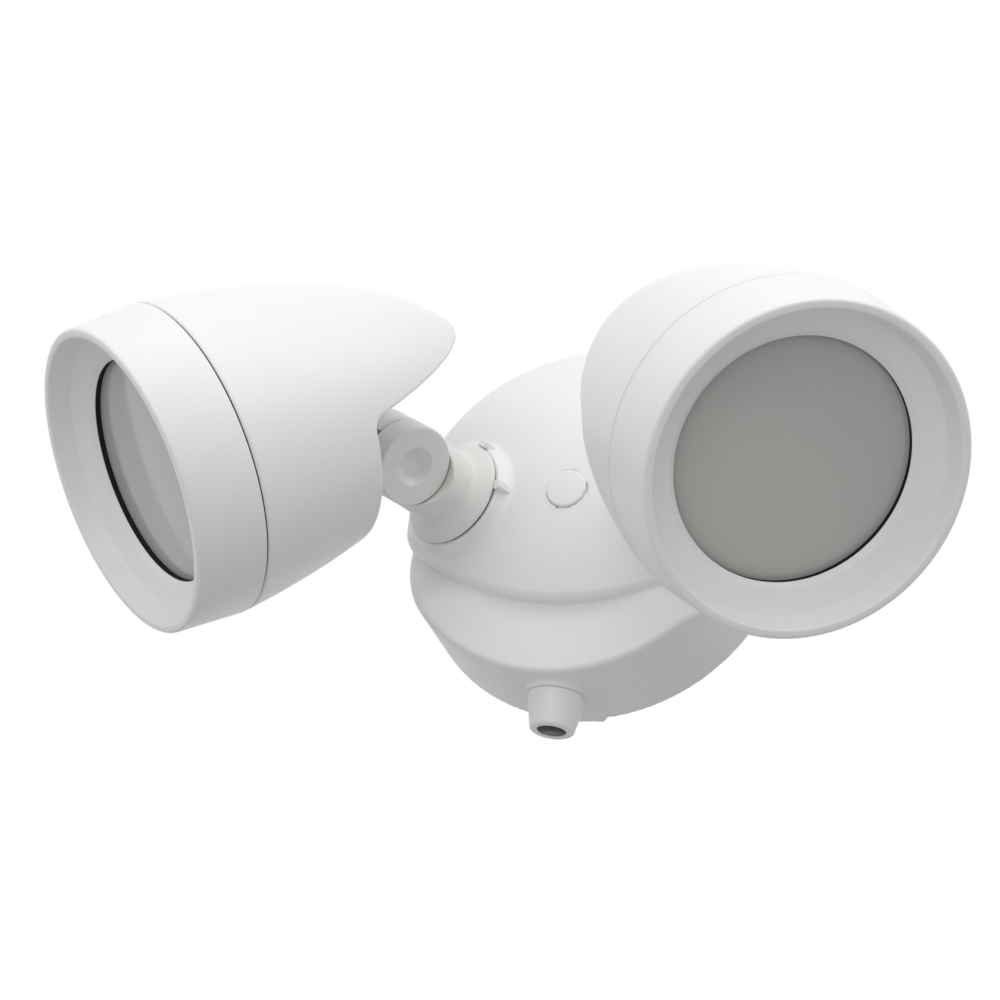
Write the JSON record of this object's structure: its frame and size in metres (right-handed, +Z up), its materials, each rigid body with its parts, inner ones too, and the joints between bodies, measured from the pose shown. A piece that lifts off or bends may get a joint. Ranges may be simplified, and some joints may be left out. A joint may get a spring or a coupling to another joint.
{
  "type": "outdoor security light",
  "caption": "Wall-mounted outdoor security light: round domed canopy, downward dusk sensor, and swivelling, tilting bullet heads with sunken frosted lenses.",
  "frame": {"origin": "centre of the canopy's back face, on the wall", "axes": "+Y into the wall, -Y is the front, +Z up, +X to the right seen from the front"},
  "size_m": [0.2896, 0.1742, 0.1463],
  "materials": {
    "white_cast": "satin white powder coat on die-cast aluminium",
    "knuckle_cast": "satin off-white powder coat on die-cast aluminium",
    "white_plastic": "white moulded nylon",
    "lens_glass": "frosted grey tempered glass",
    "window_dark": "black tinted window",
    "seal_rubber": "black silicone rubber",
    "zinc_steel": "bright zinc-plated steel",
    "bare_aluminium": "as-cast aluminium",
    "reflector_bright": "vacuum-metallised reflector",
    "board_white": "white solder mask on a board",
    "driver_case": "black potted driver case",
    "ground_green": "green dyed steel screw",
    "fibre": "light grey nylon washer"
  },
  "bodies": {
    "canopy": {"canopy_housing": "white_cast", "wall_gasket": "seal_rubber", "mounting_strap": "zinc_steel", "canopy_bolt": "zinc_steel", "bolt_plug": "white_plastic", "ground_screw": "ground_green", "led_driver": "driver_case", "driver_screws": "zinc_steel", "sensor_snout": "white_plastic", "sensor_window": "window_dark", "sensor_seal": "seal_rubber", "sensor_nut": "white_plastic", "sensor_board": "board_white", "photocell": "window_dark", "left_stop_washer": "zinc_steel", "right_stop_washer": "zinc_steel"},
    "left_arm_body": {"left_arm": "knuckle_cast", "left_arm_gasket": "seal_rubber", "left_arm_locknut": "zinc_steel", "left_friction_disc": "fibre", "left_pivot_screw": "zinc_steel", "left_pivot_nut": "zinc_steel"},
    "left_head_body": {"left_pivot_ear": "knuckle_cast", "left_pivot_cap": "white_plastic", "left_ear_seal": "seal_rubber", "left_ear_locknut": "zinc_steel", "left_rear_shell": "white_cast", "left_seam_seal": "seal_rubber", "left_bezel": "white_cast", "left_lens_gasket": "seal_rubber", "left_lens": "lens_glass", "left_reflector": "reflector_bright", "left_led_board": "board_white", "left_heat_sink": "bare_aluminium", "left_heat_sink_screws": "zinc_steel"},
    "right_arm_body": {"right_arm": "knuckle_cast", "right_arm_gasket": "seal_rubber", "right_arm_locknut": "zinc_steel", "right_friction_disc": "fibre", "right_pivot_screw": "zinc_steel", "right_pivot_nut": "zinc_steel"},
    "right_head_body": {"right_pivot_ear": "knuckle_cast", "right_pivot_cap": "white_plastic", "right_ear_seal": "seal_rubber", "right_ear_locknut": "zinc_steel", "right_rear_shell": "white_cast", "right_seam_seal": "seal_rubber", "right_bezel": "white_cast", "right_lens_gasket": "seal_rubber", "right_lens": "lens_glass", "right_reflector": "reflector_bright", "right_led_board": "board_white", "right_heat_sink": "bare_aluminium", "right_heat_sink_screws": "zinc_steel"}
  },
  "joints": [
    {"name": "left_swivel", "type": "hinge", "parent": "canopy", "child": "left_arm_body", "pos_m": [-0.0407, -0.0365, 0.0005], "axis": [-0.3478, -0.9376, 0], "range_deg": [-135, 45]},
    {"name": "left_tilt", "type": "hinge", "parent": "left_arm_body", "child": "left_head_body", "pos_m": [-0.05033, -0.06247, 0.0005], "axis": [-0.8011, 0.2971, 0.5195], "range_deg": [-25, 35]},
    {"name": "right_swivel", "type": "hinge", "parent": "canopy", "child": "right_arm_body", "pos_m": [0.0407, -0.0365, 0.0005], "axis": [0.3478, -0.9376, 0], "range_deg": [-45, 135]},
    {"name": "right_tilt", "type": "hinge", "parent": "right_arm_body", "child": "right_head_body", "pos_m": [0.05033, -0.06247, 0.0005], "axis": [-0.8011, -0.2971, -0.5195], "range_deg": [-25, 35]}
  ]
}
